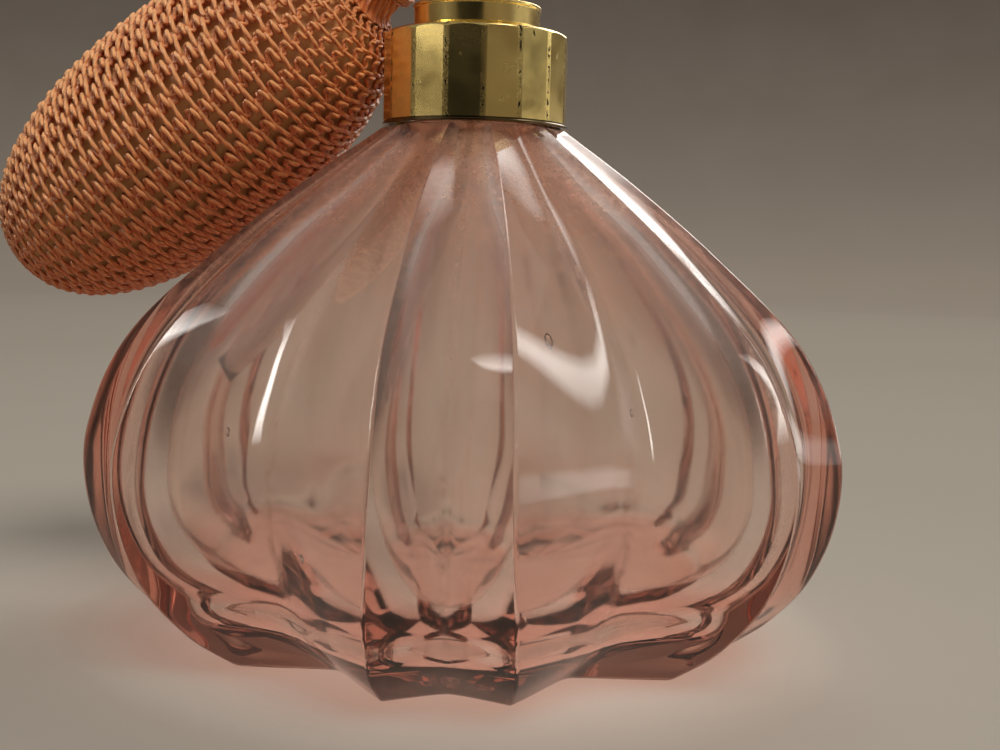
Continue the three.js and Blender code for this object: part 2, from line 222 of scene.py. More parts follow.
def glass_material(name):
    """Salmon glass: pale where thin, deep where the light goes a long way through it.
    The skin of the hollow carries a dried film, and is browner in streaks along its creases."""
    material, tree, shader = new_material(name)
    shader.inputs["Transmission Weight"].default_value = 1
    shader.inputs["IOR"].default_value = 1.5
    place = position(tree)
    ripple = noise(tree, 42, 2, 0.4, place)
    fine = noise(tree, 600, 3, 0.6, place)
    grain = noise(tree, 2600, 3, 0.6, place)
    film = dried_film(tree, place)
    streaks = spread(tree, noise(tree, 500, 4, 0.7, place), 0.38, 0.66)
    # Browner in streaks along the creases of the hollow.
    crease_brown = product(tree, attribute(tree, "creases"), streaks, 0.55)
    height = total(tree, ripple, product(tree, fine, 0.015), product(tree, grain, product(tree, film, 0.05)))
    link(tree, bump(tree, height, 0.25, 0.0006), shader.inputs["Normal"])
    polish = spread(tree, fine, 0.3, 0.8, 0.0, 0.03)
    rough = total(tree, product(tree, film, 1.6), polish, product(tree, crease_brown, 0.3))
    link(tree, rough, shader.inputs["Roughness"])
    tint = mix_colour(tree, spread(tree, film, 0.03, 0.15), (1, 0.97, 0.94), (1.0, 0.62, 0.44))
    tint = mix_colour(tree, crease_brown, tint, (0.45, 0.26, 0.12))
    link(tree, tint, shader.inputs["Base Color"])
    veil = math_node(tree, "MAXIMUM", film, product(tree, crease_brown, 0.6))
    link(tree, math_node(tree, "SUBTRACT", 1.0, veil), shader.inputs["Transmission Weight"])
    depth = add(tree, "ShaderNodeVolumeAbsorption", Density=GLASS_DEPTH)
    depth.inputs["Color"].default_value = (0.985, 0.30, 0.08, 1)
    output = tree.nodes["Material Output"]
    link(tree, depth.outputs[0], output.inputs["Volume"])
    # Lamps shine through the glass, so its shadow is pale.
    lamp = add(tree, "ShaderNodeLightPath")
    clear = add(tree, "ShaderNodeBsdfTransparent")
    clear.inputs["Color"].default_value = (0.92, 0.92, 0.93, 1)
    either = add(tree, "ShaderNodeMixShader")
    link(tree, lamp.outputs["Is Shadow Ray"], either.inputs[0])
    link(tree, shader.outputs[0], either.inputs[1])
    link(tree, clear.outputs[0], either.inputs[2])
    link(tree, either.outputs[0], output.inputs["Surface"])
    return material


def round_pits(tree, place):
    """Scattered pits with a ragged outline."""
    cells = add(tree, "ShaderNodeTexVoronoi", feature="F1", Scale=700.0)
    wobble = add(tree, "ShaderNodeTexNoise", Scale=900.0)
    link(tree, place, wobble.inputs["Vector"])
    shrink = add(tree, "ShaderNodeVectorMath", operation="SCALE", Scale=0.0012)
    link(tree, wobble.outputs["Color"], shrink.inputs[0])
    warped = add(tree, "ShaderNodeVectorMath", operation="ADD")
    link(tree, place, warped.inputs[0])
    link(tree, shrink.outputs[0], warped.inputs[1])
    link(tree, warped.outputs[0], cells.inputs["Vector"])
    near = spread(tree, cells.outputs["Distance"], 0.12, 0.24, 1, 0)
    chosen = spread(tree, noise(tree, 330, 2, 0.5, place), 0.56, 0.62)
    return product(tree, near, chosen)


def edge_chips(tree, place, facets):
    """Chips along the upright edges between the flat faces of a many-sided ring."""
    axes = components(tree, place)
    angle = math_node(tree, "ARCTAN2", axes["X"], product(tree, axes["Y"], -1))
    turns = product(tree, angle, facets / (2 * math.pi))
    shifted = total(tree, turns, facets - FACET_TURN * facets / 360 + 0.5)
    inside = math_node(tree, "FRACT", shifted)
    off_edge = math_node(tree, "ABSOLUTE", math_node(tree, "SUBTRACT", inside, 0.5))
    edge = spread(tree, off_edge, 0.02, 0.08, 1, 0)
    ragged = spread(tree, noise(tree, 1500, 4, 0.7, place), 0.49, 0.54)
    patchy = spread(tree, noise(tree, 240, 2, 0.5, place), 0.44, 0.52)
    return product(tree, edge, ragged, patchy)


def brass_material(name, bright, dull, facets=0):
    """Polished brass gone brown in places, with dark pits, most of them along the facet edges."""
    material, tree, shader = new_material(name)
    shader.inputs["Metallic"].default_value = 1
    place = position(tree)
    stain = noise(tree, 220, 4, 0.6, place)
    broad = noise(tree, 60, 2, 0.5, place)
    colour = mix_colour(tree, spread(tree, broad, 0.3, 0.75, 0, 0.55), bright, dull)
    colour = mix_colour(tree, spread(tree, stain, 0.55, 0.8, 0, 0.5), colour, (0.30, 0.20, 0.08))
    pits = round_pits(tree, place)
    if facets:
        pits = math_node(tree, "MAXIMUM", pits, edge_chips(tree, place, facets))
    colour = mix_colour(tree, pits, colour, (0.02, 0.015, 0.01))
    link(tree, colour, shader.inputs["Base Color"])
    rough = total(tree, spread(tree, stain, 0.3, 0.8, 0.14, 0.32), product(tree, pits, 0.4))
    link(tree, rough, shader.inputs["Roughness"])
    scratches = noise(tree, 2600, 2, 0.5, place)
    link(tree, bump(tree, scratches, 0.03, 0.00005), shader.inputs["Normal"])
    return material


PLY_TWIST = 0.2       # turns of the ply in one thread width


def yarn_light_and_shade(tree, tone):
    """Painted light and shade: paler where the thread stands proud of the net and faces up, and painted shade
    in deep orange where it lies low.
    """
    proud = spread(tree, attribute(tree, "proud"), -0.5, 1.1)
    # Painted shade: deep orange where the thread lies low or its side faces in.
    low = mix_colour(tree, 0.75, tone, (0.46, 0.055, 0.01))
    tone = mix_colour(tree, proud, low, tone)
    # Painted light: paler still where the thread stands proud and faces up.
    way_up = components(tree, add(tree, "ShaderNodeTexCoord").outputs["Normal"])["Z"]
    top_light = product(tree, proud, spread(tree, way_up, -0.5, 0.6, 0.1, 0.75))
    return mix_colour(tree, top_light, tone, (1.0, 0.55, 0.24))


def yarn_material(name, light, dark, shade_and_light=False):
    """Shiny twisted thread; its ply shows as slanting stripes along the strand."""
    material, tree, shader = new_material(name)
    thread = components(tree, add(tree, "ShaderNodeUVMap", uv_map="thread").outputs[0])
    phase = total(tree, product(tree, thread["X"], PLY_TWIST), thread["Y"])
    ply = spread(tree, math_node(tree, "SINE", product(tree, phase, 4 * math.pi)), -1, 1)
    place = position(tree)
    fibre = noise(tree, 5000, 3, 0.6, place)
    broad = noise(tree, 90, 3, 0.6, place)
    # The ply stripes are painted shade and light: the dark colour in the grooves between the plies, the light
    # colour on their crests.
    tone = mix_colour(tree, ply, dark, light)
    tone = mix_colour(tree, spread(tree, broad, 0.3, 0.7, 0, 0.35), tone, (0.50, 0.11, 0.03))
    # Painted glints: fine bright specks on the fibres.
    tone = mix_colour(tree, spread(tree, fibre, 0.5, 0.8, 0, 0.3), tone, (0.95, 0.48, 0.20))
    # The net's thread gets the painted light and shade.
    if shade_and_light:
        tone = yarn_light_and_shade(tree, tone)
    link(tree, tone, shader.inputs["Base Color"])
    link(tree, spread(tree, fibre, 0.3, 0.7, 0.30, 0.48), shader.inputs["Roughness"])
    shader.inputs["Sheen Weight"].default_value = 0.25
    shader.inputs["Sheen Roughness"].default_value = 0.4
    shader.inputs["Sheen Tint"].default_value = (1, 0.8, 0.65, 1)
    height = total(tree, ply, product(tree, fibre, 0.3))
    link(tree, bump(tree, height, 0.9, 0.00012), shader.inputs["Normal"])
    return material


def rubber_material(name, pale, deep):
    """Aged rubber, patchy and finely grained."""
    material, tree, shader = new_material(name)
    place = position(tree)
    patch = noise(tree, 70, 5, 0.6, place)
    grain = noise(tree, 1800, 3, 0.6, place)
    tone = mix_colour(tree, spread(tree, patch, 0.3, 0.7), pale, deep)
    tone = mix_colour(tree, spread(tree, grain, 0.6, 0.8, 0, 0.4), tone, deep)
    link(tree, tone, shader.inputs["Base Color"])
    link(tree, spread(tree, grain, 0.3, 0.7, 0.55, 0.8), shader.inputs["Roughness"])
    link(tree, bump(tree, grain, 0.4, 0.0001), shader.inputs["Normal"])
    return material


def tube_material(name):
    """Clear tube with a cloudy film."""
    material, tree, shader = new_material(name)
    shader.inputs["Transmission Weight"].default_value = 0.92
    shader.inputs["IOR"].default_value = 1.46
    place = position(tree)
    film = noise(tree, 300, 4, 0.6, place)
    link(tree, mix_colour(tree, film, (0.95, 0.90, 0.86), (0.80, 0.70, 0.62)), shader.inputs["Base Color"])
    link(tree, spread(tree, film, 0.3, 0.8, 0.06, 0.3), shader.inputs["Roughness"])
    link(tree, bump(tree, film, 0.2, 0.0001), shader.inputs["Normal"])
    return material


def steel_material(name):
    """Plain brushed steel."""
    material, tree, shader = new_material(name)
    shader.inputs["Metallic"].default_value = 1
    place = position(tree)
    grain = noise(tree, 900, 3, 0.6, place)
    link(tree, mix_colour(tree, grain, (0.62, 0.61, 0.58), (0.42, 0.41, 0.38)), shader.inputs["Base Color"])
    link(tree, spread(tree, grain, 0.3, 0.8, 0.18, 0.38), shader.inputs["Roughness"])
    return material


GLASS = glass_material("pink_glass")
BRASS = brass_material("worn_brass", (0.84, 0.64, 0.24), (0.66, 0.46, 0.15))
COLLAR_BRASS = brass_material("collar_brass", (0.86, 0.66, 0.24), (0.70, 0.49, 0.16), facets=COLLAR_SIDES)
# Near-black brass for the collar's rim and lip, darker than the rest of the collar.
DARK_RIM = brass_material("near_black_rim", (0.16, 0.11, 0.05), (0.07, 0.05, 0.03))
DULL_BRASS = brass_material("dull_brass", (0.48, 0.36, 0.16), (0.30, 0.22, 0.10))
STEEL = steel_material("spring_steel")
NET_YARN = yarn_material("net_yarn", (0.92, 0.27, 0.07), (0.60, 0.10, 0.015), shade_and_light=True)
YARN = yarn_material("tie_yarn", (0.74, 0.23, 0.06), (0.50, 0.09, 0.02))
BULB_RUBBER = rubber_material("bulb_rubber", (0.95, 0.52, 0.20), (0.74, 0.34, 0.11))
SEAL_RUBBER = rubber_material("seal_rubber", (0.05, 0.045, 0.04), (0.03, 0.025, 0.02))
CLEAR = tube_material("clear_tube")


# ---------------------------------------------------------------- mesh helpers
def make_object(name, points, faces, materials, slots=None):
    """A smooth-shaded mesh; slots gives each face its material."""
    mesh = bpy.data.meshes.new(name)
    mesh.from_pydata([tuple(p) for p in points], [], [tuple(f) for f in faces])
    for material in materials:
        mesh.materials.append(material)
    if slots is not None:
        mesh.polygons.foreach_set("material_index", slots)
    mesh.polygons.foreach_set("use_smooth", [True] * len(mesh.polygons))
    mesh.update()
    obj = bpy.data.objects.new(name, mesh)
    bpy.context.collection.objects.link(obj)
    return obj


def grid_faces(rows, columns, start=0, close_rows=False):
    """Quads of a grid whose columns close round; rows close too on a ring shape."""
    faces = []
    last = rows if close_rows else rows - 1
    for i in range(last):
        for j in range(columns):
            a = start + i * columns + j
            b = start + i * columns + (j + 1) % columns
            c = start + ((i + 1) % rows) * columns + (j + 1) % columns
            d = start + ((i + 1) % rows) * columns + j
            faces.append((a, b, c, d))
    return faces


def rounded(outline, radius, steps=3):
    """The closed outline with each corner turned into a small arc."""
    result = []
    count = len(outline)
    for i in range(count):
        before = Vector(outline[i - 1])
        here = Vector(outline[i])
        after = Vector(outline[(i + 1) % count])
        reach = min(radius, (before - here).length * 0.45, (after - here).length * 0.45)
        first = here + (before - here).normalized() * reach
        final = here + (after - here).normalized() * reach
        for k in range(steps + 1):
            t = k / steps
            result.append(first * (1 - t) ** 2 + here * 2 * t * (1 - t) + final * t * t)
    return result


def turned_ring(name, outline, material, place=None, corner=0.12, sides=96):
    """A turned ring from a closed outline of (radius, height) in millimetres, counterclockwise."""
    profile = rounded(outline, corner)
    place = place or Matrix()
    points = []
    for radius, height in profile:
        for j in range(sides):
            a = 2 * math.pi * j / sides
            points.append(place @ (Vector((radius * math.cos(a), radius * math.sin(a), height)) * MM))
    faces = grid_faces(len(profile), sides, close_rows=True)
    return make_object(name, points, faces, [material])


def smooth_through(stations):
    """Smooth curve through (height, value) stations, as a function of height."""
    heights = [s[0] for s in stations]
    values = [s[1] for s in stations]
    slopes = []
    for i in range(len(stations)):
        low = max(i - 1, 0)
        high = min(i + 1, len(stations) - 1)
        slopes.append((values[high] - values[low]) / (heights[high] - heights[low]))

    def value(z):
        i = min(max(np.searchsorted(heights, z) - 1, 0), len(heights) - 2)
        span = heights[i + 1] - heights[i]
        t = min(max((z - heights[i]) / span, 0), 1)
        a, b = values[i], values[i + 1]
        ma, mb = slopes[i] * span, slopes[i + 1] * span
        ends = (2 * t**3 - 3 * t**2 + 1) * a + (3 * t**2 - 2 * t**3) * b
        leans = (t**3 - 2 * t**2 + t) * ma + (t**3 - t**2) * mb
        return ends + leans

    return value


# ---------------------------------------------------------------- glass bottle
RIB_PAIRS = 6
HALF_PERIOD = math.pi / RIB_PAIRS
BODY_TOP = 60             # where the shoulder meets the neck
NECK_R = 8.2
NECK_BORE = 5.4
NECK_TOP = 68.5
THREAD_PITCH = 3.175
THREAD_START = 62.9
THREAD_TURNS = 1.2
THREAD_HALF_WIDTH = 0.65
THREAD_DEPTH = 0.75
FLOOR = 7                 # thickness of the bottom
HOLLOW_TOP = 62
HEEL = 2.4                # height of the round between the hollow's wall and its floor
HEEL_TOP = FLOOR + HEEL
HEEL_REACH = 3.2          # how far that round reaches inwards
FLUTE_SHARPNESS = 1.45    # 1 would make straight sides between rib and flute
LOBE_FULLNESS = 0.75      # below 1 the lobes of the hollow are broader than its waists

# Stations are (height, radius), or (height, degrees) for the rib's distance from the middle of its pair.
rib_radius = smooth_through([
    (0, 31.5), (4, 37), (10, 42), (18, 44.8), (26, 44.6), (36, 40), (46, 29.6), (54, 19.6), (60, 11.2)])
narrow_radius = smooth_through([
    (0, 28), (8, 38.4), (22, 42), (34, 38.6), (46, 27.8), (54, 18.2), (60, 10.4)])
wide_radius = smooth_through([
    (0, 25), (8, 33.8), (22, 37.8), (32, 34.8), (42, 27.8), (52, 17.6), (60, 9.9)])
rib_angle = smooth_through([
    (0, 12), (12, 9.5), (25, 8.6), (40, 9.4), (60, 12)])
lobe_radius = smooth_through([
    (7, 22), (8.5, 30), (13, 36.6), (22, 38.9), (34, 35.4),
    (46, 24.6), (54, 14.8), (60, 7.2), (HOLLOW_TOP, NECK_BORE)])
waist_radius = smooth_through([
    (7, 18), (8.5, 24), (13, 30.4), (22, 34.2), (32, 31.2),
    (42, 24.2), (52, 13.8), (59, 6.8), (HOLLOW_TOP, NECK_BORE)])

NARROW_STEPS = 8          # columns from the middle of the narrow flute to the rib
WIDE_STEPS = 11           # and from the rib to the middle of the wide flute
PER_HALF = NARROW_STEPS + WIDE_STEPS
AROUND = 2 * RIB_PAIRS * PER_HALF
CROWDING = 1.6            # above 1 the columns stand closer together near a rib or crease


def column_turns(z, even):
    """Azimuths of the columns in half a period; the rib is always on a column of its own."""
    rib = math.radians(10 if even else rib_angle(z))
    inner = [rib * (1 - (1 - k / NARROW_STEPS) ** CROWDING) for k in range(NARROW_STEPS)]
    outer = [rib + (HALF_PERIOD - rib) * (k / WIDE_STEPS) ** CROWDING for k in range(WIDE_STEPS)]
    return inner + outer + [HALF_PERIOD]


def outer_radius(z, turn):
    """Outside of the glass: narrow flutes inside the pairs of ribs and wide ones between the pairs."""
    rib = math.radians(rib_angle(z))
    if turn <= rib:
        valley = narrow_radius(z)
        climb = turn / rib
    else:
        valley = wide_radius(z)
        climb = (HALF_PERIOD - turn) / (HALF_PERIOD - rib)
    return valley + (rib_radius(z) - valley) * climb**FLUTE_SHARPNESS


def hollow_radius(z, turn):
    """The hollow has six lobes, one behind each pair of ribs."""
    lobe = (0.5 + 0.5 * math.cos(RIB_PAIRS * turn)) ** LOBE_FULLNESS
    return waist_radius(z) + (lobe_radius(z) - waist_radius(z)) * lobe


def thread_height(azimuth, z):
    """How far the screw thread stands out of the neck there."""
    run_out = 0.05
    for wrap in (0, 1):
        turn = (azimuth / (2 * math.pi)) % 1 + wrap
        if turn > THREAD_TURNS:
            continue
        off = abs(z - THREAD_START - THREAD_PITCH * turn)
        fade = min(1, turn / run_out, (THREAD_TURNS - turn) / run_out)
        if off < THREAD_HALF_WIDTH:
            return THREAD_DEPTH * fade * math.cos(off / THREAD_HALF_WIDTH * math.pi / 2) ** 0.5
    return 0


def outside_rows(row):
    """From the dished middle of the foot up to the neck."""
    dish = 0.5
    stand = 0.8
    foot_round = 0.7
    for share in (0.15, 0.35, 0.6, stand):
        row(dish * (1 - share / stand), lambda t, s=share: s * outer_radius(0, t))
    for k in range(5):
        a = k / 4 * math.pi / 2
        z = foot_round * (1 - math.cos(a))
        inset = foot_round * (1 - math.sin(a))
        row(z, lambda t, z=z, inset=inset: outer_radius(z, t) - inset)
    levels = 84
    for k in range(1, levels + 1):
        z = foot_round + (BODY_TOP - foot_round) * k / levels
        row(z, lambda t, z=z: outer_radius(z, t))
    row(BODY_TOP + 0.3, lambda t: 0.5 * (outer_radius(BODY_TOP, t) + NECK_R))


def neck_rows(row):
    """Up the threaded neck, over its rim and down the bore."""
    start = BODY_TOP + 0.6
    rim = 0.5
    lip = 0.4
    last = 45
    for k in range(last + 1):
        row(start + (NECK_TOP - rim - start) * k / last, None)
    for k in range(1, 5):
        a = k / 4 * math.pi / 2
        row(NECK_TOP - rim + rim * math.sin(a), lambda t, a=a: NECK_R - rim * (1 - math.cos(a)), True)
    for k in range(5):
        a = k / 4 * math.pi / 2
        z = NECK_TOP - lip * (1 - math.cos(a))
        row(z, lambda t, a=a: NECK_BORE + lip * (1 - math.sin(a)), True, True)
    row(HOLLOW_TOP + 3, lambda t: NECK_BORE, True, True)


def hollow_rows(row):
    """Down the wall of the hollow, round its heel and in to the middle of its floor."""
    last = 59
    for k in range(last + 1):
        z = HOLLOW_TOP - (HOLLOW_TOP - HEEL_TOP) * k / last
        row(z, lambda t, z=z: hollow_radius(z, t), True, True)
    for k in range(1, 6):
        a = k / 5 * math.pi / 2
        inset = HEEL_REACH * (1 - math.cos(a))
        z = FLOOR + HEEL * (1 - math.sin(a))
        row(z, lambda t, inset=inset: hollow_radius(HEEL_TOP, t) - inset, True, True)
    sag = 0.3
    for share in (0.75, 0.5, 0.25):
        z = FLOOR - sag * (1 - share)
        row(z, lambda t, s=share: s * (hollow_radius(HEEL_TOP, t) - HEEL_REACH), True, True)


def bottle_rows():
    """Rows from the middle of the foot, up the outside, over the rim and down the hollow. A row is its
    height, its radius by azimuth, whether its columns keep to fixed azimuths and whether it is inside."""
    rows = []

    def row(z, radius, even=False, inside=False):
        rows.append((z, radius, even, inside))

    outside_rows(row)
    neck_rows(row)
    hollow_rows(row)
    return rows


# Seed bubbles caught in the wall: azimuth from the front in degrees, height and half length in mm.
BUBBLES = [
    (15, 37, 0.9), (-9, 49, 0.4), (31, 30, 0.45), (-38, 27, 0.5),
    (58, 34, 0.4), (-21, 16, 0.5), (140, 33, 0.8)]
BUBBLE_WIDTH = 0.55       # of its length
BUBBLE_FLATNESS = 0.6     # thickness through the wall, of its width


def add_bubbles(points, faces):
    """Drawn-out bubbles halfway through the wall, turned inside out because they are holes in the glass."""
    around, up = 12, 6
    for azimuth, z, half_length in BUBBLES:
        a = math.radians(azimuth)
        turn = abs((a + HALF_PERIOD) % (2 * HALF_PERIOD) - HALF_PERIOD)
        middle = (outer_radius(z, turn) + hollow_radius(z, turn)) / 2
        centre = Vector((middle * math.sin(a), -middle * math.cos(a), z))
        outward = Vector((math.sin(a), -math.cos(a), 0))
        sideways = Vector((math.cos(a), math.sin(a), 0))
        upright = Vector((0, 0, 1))
        first = len(points)
        points.append((centre - upright * half_length) * UNIT)
        for i in range(1, up):
            lift = -math.cos(math.pi * i / up) * half_length
            wide = math.sin(math.pi * i / up) * half_length * BUBBLE_WIDTH
            for j in range(around):
                b = 2 * math.pi * j / around
                flat = sideways * (wide * math.cos(b)) + outward * (wide * BUBBLE_FLATNESS * math.sin(b))
                points.append((centre + upright * lift + flat) * UNIT)
        points.append((centre + upright * half_length) * UNIT)
        faces += [(first, first + 1 + j, first + 1 + (j + 1) % around) for j in range(around)]
        for i in range(up - 2):
            low = first + 1 + i * around
            faces += [(low + j, low + around + j, low + around + (j + 1) % around, low + (j + 1) % around)
                      for j in range(around)]
        low = first + 1 + (up - 2) * around
        faces += [(low + j, len(points) - 1, low + (j + 1) % around) for j in range(around)]


def make_bottle():
    """One skin: foot, outside, neck and hollow. It is marked where it is hollow and where that is creased."""
    rows = bottle_rows()
    foot_middle = 0.6
    floor_middle = FLOOR - 0.35
    crease_width = 0.7
    points = [Vector((0, 0, foot_middle)) * UNIT]
    hollow = [0.0]
    creases = [0.0]
    for z, radius, even, inside in rows:
        turns = column_turns(min(z, BODY_TOP), even)
        for j in range(AROUND):
            period, step = divmod(j, 2 * PER_HALF)
            mirrored = step > PER_HALF
            turn = turns[2 * PER_HALF - step if mirrored else step]
            azimuth = (period + (1 if mirrored else 0)) * 2 * HALF_PERIOD + (-turn if mirrored else turn)
            # Thread turns count anticlockwise from +X.
            r = radius(turn) if radius else NECK_R + thread_height(azimuth - math.pi / 2, z)
            points.append(Vector((r * math.sin(azimuth), -r * math.cos(azimuth), z)) * UNIT)
            in_hollow = inside and HEEL_TOP - 0.4 < z < HOLLOW_TOP
            hollow.append(1.0 if in_hollow else 0.0)
            off_crease = min(turn, HALF_PERIOD - turn) * r
            creases.append(max(0.0, 1 - off_crease / crease_width) if in_hollow else 0.0)
    points.append(Vector((0, 0, floor_middle)) * UNIT)
    faces = [(0, 1 + (j + 1) % AROUND, 1 + j) for j in range(AROUND)]
    faces += grid_faces(len(rows), AROUND, start=1)
    last = 1 + (len(rows) - 1) * AROUND
    faces += [(last + j, last + (j + 1) % AROUND, len(points) - 1) for j in range(AROUND)]
    add_bubbles(points, faces)
    bottle = make_object("glass_bottle", points, faces, [GLASS])
    for name, values in (("hollow", hollow), ("creases", creases)):
        layer = bottle.data.attributes.new(name, "FLOAT", "POINT")
        layer.data.foreach_set("value", values + [0.0] * (len(points) - len(values)))
    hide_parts("bottle")
    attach(bottle, "glass")


make_bottle()


# ---------------------------------------------------------------- screw collar
COLLAR_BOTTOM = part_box("collar_shell")[0][2] / MM
COLLAR_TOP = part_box("collar_shell")[1][2] / MM
COLLAR_R = 11.0       # over the corners
COLLAR_INNER = 10.2
PLATE_BORE = 3.5
PLATE_THICK = 1.1     # closed top of the collar


def make_collar():
    """Sixteen flat faces cut off by a round shoulder, so each face ends in a shallow arch."""
    facet = 2 * math.pi / COLLAR_SIDES
    per_facet = 12
    around = COLLAR_SIDES * per_facet
    shoulder = 1.0
    cap = COLLAR_R + 0.05
    lip = 0.35
    corner = 0.06

    def flat_radius(angle):
        inside = (angle % facet) - facet / 2
        straight = COLLAR_R * math.cos(facet / 2) / math.cos(inside)
        return min(straight, COLLAR_R - corner)

    def column(angle):
        """Radius and height up one column, from the inside edge of the lip to the inside of the plate."""
        flat = flat_radius(angle)
        cut = math.acos(1 - (cap - flat) / shoulder)
        flat_top = COLLAR_TOP - shoulder + shoulder * math.sin(cut)
        bottom = COLLAR_BOTTOM
        flat_bottom = bottom + lip + 0.2
        path = [
            (COLLAR_INNER, bottom + 0.6), (COLLAR_INNER + 0.1, bottom + 0.1), (COLLAR_R - 0.4, bottom),
            (COLLAR_R - 0.05, bottom), (COLLAR_R + 0.08, bottom + 0.1),
            (COLLAR_R + 0.08, bottom + lip - 0.08), (COLLAR_R, bottom + lip),
            (flat - 0.1, bottom + lip + 0.02), (flat - 0.1, bottom + lip + 0.14),
            (flat, flat_bottom)]
        path += [(flat, flat_bottom + (flat_top - flat_bottom) * k / 8) for k in range(1, 9)]
        for k in range(1, 13):
            t = cut + (math.pi / 2 - cut) * k / 12
            path.append((cap - shoulder * (1 - math.cos(t)), COLLAR_TOP - shoulder + shoulder * math.sin(t)))
        underside = COLLAR_TOP - PLATE_THICK
        path += [(8.0, COLLAR_TOP), (5.5, COLLAR_TOP), (PLATE_BORE, COLLAR_TOP)]
        path += [(PLATE_BORE, underside), (COLLAR_INNER, underside)]
        return path

    columns = []
    for j in range(around):
        columns.append(column((j // per_facet + (j % per_facet) / per_facet) * facet))
    rows = len(columns[0])
    points = []
    for i in range(rows):
        for j in range(around):
            azimuth = j * facet / per_facet + math.radians(FACET_TURN)
            r, z = columns[j][i]
            points.append(Vector((r * math.sin(azimuth), -r * math.cos(azimuth), z)) * MM)
    rim_rows = 9
    slots = []
    for i in range(rows):
        slots += [1 if i < rim_rows else 0] * around
    faces = grid_faces(rows, around, close_rows=True)
    collar = make_object("faceted_collar", points, faces, [COLLAR_BRASS, DARK_RIM], slots=slots)
    edge = collar.modifiers.new("crisp", "EDGE_SPLIT")
    edge.split_angle = math.radians(9)
    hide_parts("collar_shell")
    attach(collar, "collar")


make_collar()


# ---------------------------------------------------------------- spray head
GAP = 0.3             # between pieces that sit on each other
HEAD_BORE = 3.2
SHANK_R = 2.9
FLANGE_R = 7.5
FLANGE_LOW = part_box("head_flange")[0][2] / MM
FLANGE_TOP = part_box("head_flange")[1][2] / MM
TURRET_R = 4.7
TURRET_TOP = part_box("turret_body")[1][2] / MM
NOZZLE_HEIGHT = 82.5
SWING = math.radians(19)     # how far the bulb points behind the side
DROOP = math.radians(33)     # slope of the air tube and bulb
AXIS_TOP = 86.35             # height where the bulb line crosses the turret line
BULB_MIDDLE = 47.5           # distances along the bulb line
BULB_HALF = 30.7
BULB_TAIL = BULB_MIDDLE + BULB_HALF
BULB_BLUNT = 0.78            # 1 is a plain ellipse; less gives blunter ends
BULB_R = 15.5                # over the net
STEM_R = 1.4
STEM_END = 15.5
BULB_LINE = (
    Matrix.Translation((0, 0, AXIS_TOP * MM))
    @ Matrix.Rotation(-SWING, 4, "Z")
    @ Matrix.Rotation(-(math.pi / 2 + DROOP), 4, "Y"))
NOZZLE_LINE = (
    Matrix.Translation((0, 0, NOZZLE_HEIGHT * MM))
    @ Matrix.Rotation(-SWING, 4, "Z")
    @ Matrix.Rotation(math.pi / 2, 4, "Y"))


def on_head(obj, *nodes, slot="brass", body="head"):
    """Stand in for the solid nodes and move with the body; the slot is not used."""
    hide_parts(*nodes)
    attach(obj, body)


def make_flange():
    low, top = FLANGE_LOW, FLANGE_TOP
    flange = turned_ring("step_ring", [
        (HEAD_BORE, low), (FLANGE_R - 0.3, low), (FLANGE_R, low + 0.3), (FLANGE_R, top - 0.5),
        (FLANGE_R + 0.15, top - 0.4), (FLANGE_R + 0.15, top - 0.1), (FLANGE_R, top), (HEAD_BORE, top)], BRASS)
    on_head(flange, "head_flange")


def make_turret():
    """Turned post with a nipple and shank below, and the boss that the air tube comes out of."""
    foot = FLANGE_TOP + GAP
    top = TURRET_TOP
    turret = turned_ring("turret", [
        (0.55, 61.5), (1.1, 61.5), (1.1, 66.6), (SHANK_R, 66.6), (SHANK_R, foot), (TURRET_R + 0.3, foot),
        (TURRET_R + 0.5, foot + 0.3), (TURRET_R + 0.3, foot + 0.7), (TURRET_R, foot + 0.9),
        (TURRET_R, top - 2.4), (TURRET_R + 0.35, top - 2.1), (TURRET_R + 0.35, top - 1.3),
        (TURRET_R, top - 1), (TURRET_R - 1, top), (1.75, top), (1.75, top - 3), (0.55, top - 3.2)], BRASS)
    on_head(turret, "turret_body")
    boss = turned_ring("stem_boss", [(1.8, 3), (2.6, 3), (2.6, 7.4), (1.8, 7.4)], BRASS, BULB_LINE)
    on_head(boss)


def make_finial():
    """Screw, moulded foot and round knob."""
    seat = TURRET_TOP + GAP
    knob_r = 2.5
    ball = []
    for k in range(14):
        a = math.radians(-60 + 148 * k / 13)
        ball.append((knob_r * math.cos(a), seat + 4.1 + knob_r * math.sin(a)))
    knob = turned_ring("knob", [
        (0.02, seat - 2.7), (1.4, seat - 2.7), (1.4, seat), (3.3, seat), (3.5, seat + 0.4), (3.3, seat + 0.9),
        (1.6, seat + 1.4), *ball, (0.02, seat + 6.6)], BRASS)
    on_head(knob, "finial")


def make_nozzle():
    """Barrel with a bead, and the domed tip that screws over its end."""
    end = 12
    barrel = turned_ring("spray_barrel", [
        (0.95, 2.1), (1.9, 2.1), (1.9, 5.1), (2.9, 5.1), (3.1, 5.5), (2.9, 5.9), (2.5, 6.2), (2.3, end - 2.8),
        (1.6, end - 2.8), (1.6, end), (0.95, end)], BRASS, NOZZLE_LINE)
    on_head(barrel, "nozzle_barrel")
    tip = turned_ring("spray_tip", [
        (1.9, end - 2.5), (2.7, end - 2.5), (2.9, end - 2.1), (2.9, end - 0.9), (2.5, end - 0.1),
        (1.5, end + 1.1), (0.45, end + 1.5), (0.45, end + 0.4), (1.9, end + 0.4)], BRASS, NOZZLE_LINE)
    on_head(tip, "nozzle_tip")


